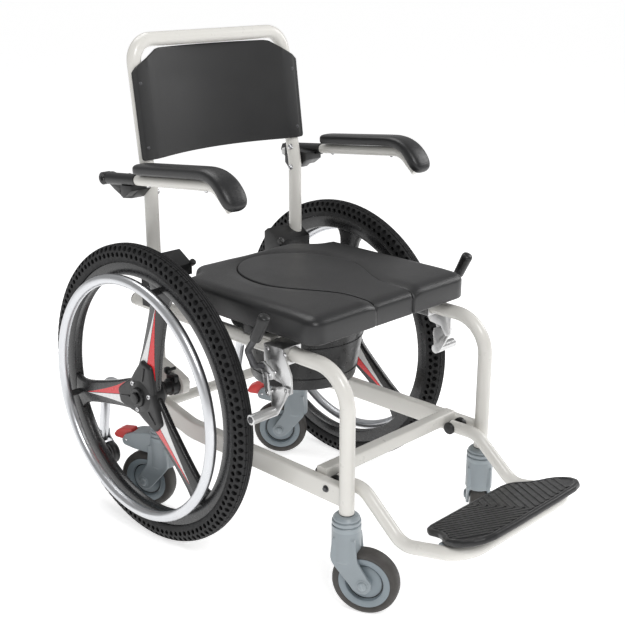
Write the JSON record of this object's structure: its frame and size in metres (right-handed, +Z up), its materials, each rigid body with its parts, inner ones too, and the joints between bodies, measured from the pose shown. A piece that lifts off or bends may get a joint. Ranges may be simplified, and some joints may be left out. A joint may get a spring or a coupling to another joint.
{
  "type": "commode chair",
  "caption": "Self-propelled shower commode chair: tube frame, spoked drive wheels with handrims, castors, lift-out backrest, flip-up arms, plug seat over a pail, and a footplate.",
  "frame": {"origin": "on the floor, at the centre of the bounding box's plan", "axes": "+Z up; the user faces -Y; +X is the user's left"},
  "size_m": [0.6482, 1.047, 0.9928],
  "materials": {
    "white_paint": "semi-gloss",
    "black_plastic": "satin",
    "soft_black": "soft satin, fine grain",
    "tyre_rubber": "matt",
    "grey_plastic": "satin",
    "red_plastic": "semi-gloss",
    "aluminium": "satin",
    "steel": "satin"
  },
  "bodies": {
    "frame": {"side_tube_left": "white_paint", "side_tube_right": "white_paint", "lower_rail_left": "white_paint", "lower_rail_right": "white_paint", "rear_post_left": "white_paint", "rear_post_right": "white_paint", "anti_tip_arm_left": "aluminium", "anti_tip_arm_right": "aluminium", "backrest_socket_left": "black_plastic", "backrest_socket_right": "black_plastic", "pail_rail_left": "black_plastic", "pail_rail_right": "black_plastic", "axle_left": "steel", "axle_right": "steel", "brake_clamp_left": "aluminium", "brake_clamp_right": "aluminium", "front_crossbar": "white_paint", "rear_crossbar": "white_paint", "seat_bar": "white_paint", "seat_strap": "white_paint"},
    "drive_wheel_left": {"drive_tyre_left": "tyre_rubber", "drive_rim_left": "black_plastic", "handrim_left": "aluminium"},
    "front_castor_left": {"front_castor_fork_left": "grey_plastic"},
    "front_castor_left_roller": {"front_castor_wheel_left": "tyre_rubber"},
    "rear_castor_left": {"rear_castor_fork_left": "grey_plastic"},
    "rear_castor_left_roller": {"rear_castor_wheel_left": "tyre_rubber"},
    "rear_castor_left_brake": {"rear_castor_pedal_left": "red_plastic"},
    "anti_tip_roller_left": {"anti_tip_wheel_left": "black_plastic"},
    "drive_wheel_right": {"drive_tyre_right": "tyre_rubber", "drive_rim_right": "black_plastic", "handrim_right": "aluminium"},
    "front_castor_right": {"front_castor_fork_right": "grey_plastic"},
    "front_castor_right_roller": {"front_castor_wheel_right": "tyre_rubber"},
    "rear_castor_right": {"rear_castor_fork_right": "grey_plastic"},
    "rear_castor_right_roller": {"rear_castor_wheel_right": "tyre_rubber"},
    "rear_castor_right_brake": {"rear_castor_pedal_right": "red_plastic"},
    "anti_tip_roller_right": {"anti_tip_wheel_right": "black_plastic"},
    "backrest": {"back_tube": "white_paint", "back_panel": "soft_black", "arm_bracket_left": "black_plastic", "arm_bracket_right": "black_plastic"},
    "armrest_left": {"arm_tube_left": "aluminium", "arm_pad_left": "soft_black"},
    "armrest_right": {"arm_tube_right": "aluminium", "arm_pad_right": "soft_black"},
    "seat": {"seat_pad": "soft_black"},
    "seat_plug": {"seat_insert": "soft_black"},
    "commode_pail": {"pail": "black_plastic"},
    "footrest": {"footrest_loop": "white_paint", "footplate": "black_plastic"},
    "brake_lever_left": {"brake_lever_left": "black_plastic"},
    "brake_shoe_left": {"brake_shoe_left": "aluminium"},
    "brake_link_left": {"brake_link_left": "aluminium"},
    "brake_lever_right": {"brake_lever_right": "black_plastic"},
    "brake_shoe_right": {"brake_shoe_right": "aluminium"},
    "brake_link_right": {"brake_link_right": "aluminium"}
  },
  "joints": [
    {"name": "drive_wheel_left_spin", "type": "hinge", "parent": "frame", "child": "drive_wheel_left", "pos_m": [0.277, 0.21912, 0.305], "axis": [1, 0, 0], "continuous": true},
    {"name": "front_castor_left_swivel", "type": "hinge", "parent": "frame", "child": "front_castor_left", "pos_m": [0.197, -0.25088, 0.1], "axis": [0, 0, 1], "continuous": true},
    {"name": "front_castor_left_roll", "type": "hinge", "parent": "front_castor_left", "child": "front_castor_left_roller", "pos_m": [0.22735, -0.22801, 0.0625], "axis": [0.6018, -0.7986, 0], "continuous": true},
    {"name": "rear_castor_left_swivel", "type": "hinge", "parent": "frame", "child": "rear_castor_left", "pos_m": [0.197, 0.28412, 0.1], "axis": [0, 0, 1], "range_deg": [-60, 160]},
    {"name": "rear_castor_left_roll", "type": "hinge", "parent": "rear_castor_left", "child": "rear_castor_left_roller", "pos_m": [0.1736, 0.31407, 0.0625], "axis": [0.788, 0.6157, 0], "continuous": true},
    {"name": "rear_castor_left_pedal", "type": "hinge", "parent": "rear_castor_left", "child": "rear_castor_left_brake", "pos_m": [0.14775, 0.34716, 0.158], "axis": [0.788, 0.6157, 0], "range_deg": [-14, 0]},
    {"name": "anti_tip_roll_left", "type": "hinge", "parent": "frame", "child": "anti_tip_roller_left", "pos_m": [0.197, 0.48012, 0.063], "axis": [1, 0, 0], "continuous": true},
    {"name": "drive_wheel_right_spin", "type": "hinge", "parent": "frame", "child": "drive_wheel_right", "pos_m": [-0.277, 0.21912, 0.305], "axis": [1, 0, 0], "continuous": true},
    {"name": "front_castor_right_swivel", "type": "hinge", "parent": "frame", "child": "front_castor_right", "pos_m": [-0.197, -0.25088, 0.1], "axis": [0, 0, 1], "continuous": true},
    {"name": "front_castor_right_roll", "type": "hinge", "parent": "front_castor_right", "child": "front_castor_right_roller", "pos_m": [-0.18034, -0.28503, 0.0625], "axis": [-0.8988, -0.4384, 0], "continuous": true},
    {"name": "rear_castor_right_swivel", "type": "hinge", "parent": "frame", "child": "rear_castor_right", "pos_m": [-0.197, 0.28412, 0.1], "axis": [0, 0, 1], "range_deg": [-220, 3]},
    {"name": "rear_castor_right_roll", "type": "hinge", "parent": "rear_castor_right", "child": "rear_castor_right_roller", "pos_m": [-0.21062, 0.3196, 0.0625], "axis": [0.9336, 0.3584, 0], "continuous": true},
    {"name": "rear_castor_right_pedal", "type": "hinge", "parent": "rear_castor_right", "child": "rear_castor_right_brake", "pos_m": [-0.22567, 0.35881, 0.158], "axis": [0.9336, 0.3584, 0], "range_deg": [-14, 0]},
    {"name": "anti_tip_roll_right", "type": "hinge", "parent": "frame", "child": "anti_tip_roller_right", "pos_m": [-0.197, 0.48012, 0.063], "axis": [1, 0, 0], "continuous": true},
    {"name": "backrest_lift", "type": "slide", "parent": "frame", "child": "backrest", "axis": [0, 0, 1], "range_m": [0, 0.08]},
    {"name": "armrest_left_flip", "type": "hinge", "parent": "backrest", "child": "armrest_left", "pos_m": [0.25, 0.35712, 0.7165], "axis": [-1, 0, 0], "range_deg": [0, 95]},
    {"name": "armrest_right_flip", "type": "hinge", "parent": "backrest", "child": "armrest_right", "pos_m": [-0.25, 0.35712, 0.7165], "axis": [-1, 0, 0], "range_deg": [0, 95]},
    {"name": "seat_lift", "type": "slide", "parent": "frame", "child": "seat", "axis": [0, 0, 1], "range_m": [0, 0.05]},
    {"name": "seat_plug_lift", "type": "slide", "parent": "seat", "child": "seat_plug", "axis": [0, 0, 1], "range_m": [0, 0.06]},
    {"name": "pail_slide", "type": "slide", "parent": "frame", "child": "commode_pail", "axis": [0, 1, 0], "range_m": [0, 0.3]},
    {"name": "footrest_flip", "type": "hinge", "parent": "frame", "child": "footrest", "pos_m": [0, -0.20888, 0.229], "axis": [-1, 0, 0], "range_deg": [0, 85]},
    {"name": "brake_lever_left_turn", "type": "hinge", "parent": "frame", "child": "brake_lever_left", "pos_m": [0.237, -0.09988, 0.424], "axis": [1, 0, 0], "range_deg": [0, 50]},
    {"name": "brake_shoe_left_turn", "type": "hinge", "parent": "frame", "child": "brake_shoe_left", "pos_m": [0.231, -0.13288, 0.401], "axis": [1, 0, 0], "range_deg": [0, 11]},
    {"name": "brake_link_left_turn", "type": "hinge", "parent": "brake_shoe_left", "child": "brake_link_left", "pos_m": [0.243, -0.09888, 0.391], "axis": [1, 0, 0], "range_deg": [-7, 0]},
    {"name": "brake_lever_right_turn", "type": "hinge", "parent": "frame", "child": "brake_lever_right", "pos_m": [-0.237, -0.09988, 0.424], "axis": [1, 0, 0], "range_deg": [0, 50]},
    {"name": "brake_shoe_right_turn", "type": "hinge", "parent": "frame", "child": "brake_shoe_right", "pos_m": [-0.231, -0.13288, 0.401], "axis": [1, 0, 0], "range_deg": [0, 11]},
    {"name": "brake_link_right_turn", "type": "hinge", "parent": "brake_shoe_right", "child": "brake_link_right", "pos_m": [-0.243, -0.09888, 0.391], "axis": [1, 0, 0], "range_deg": [-7, 0]}
  ],
  "couplings": [
    {"joint": "brake_shoe_left_turn", "follows": "brake_lever_left_turn", "ratio": 0.215},
    {"joint": "brake_link_left_turn", "follows": "brake_lever_left_turn", "ratio": -0.135},
    {"joint": "brake_shoe_right_turn", "follows": "brake_lever_right_turn", "ratio": 0.215},
    {"joint": "brake_link_right_turn", "follows": "brake_lever_right_turn", "ratio": -0.135}
  ]
}
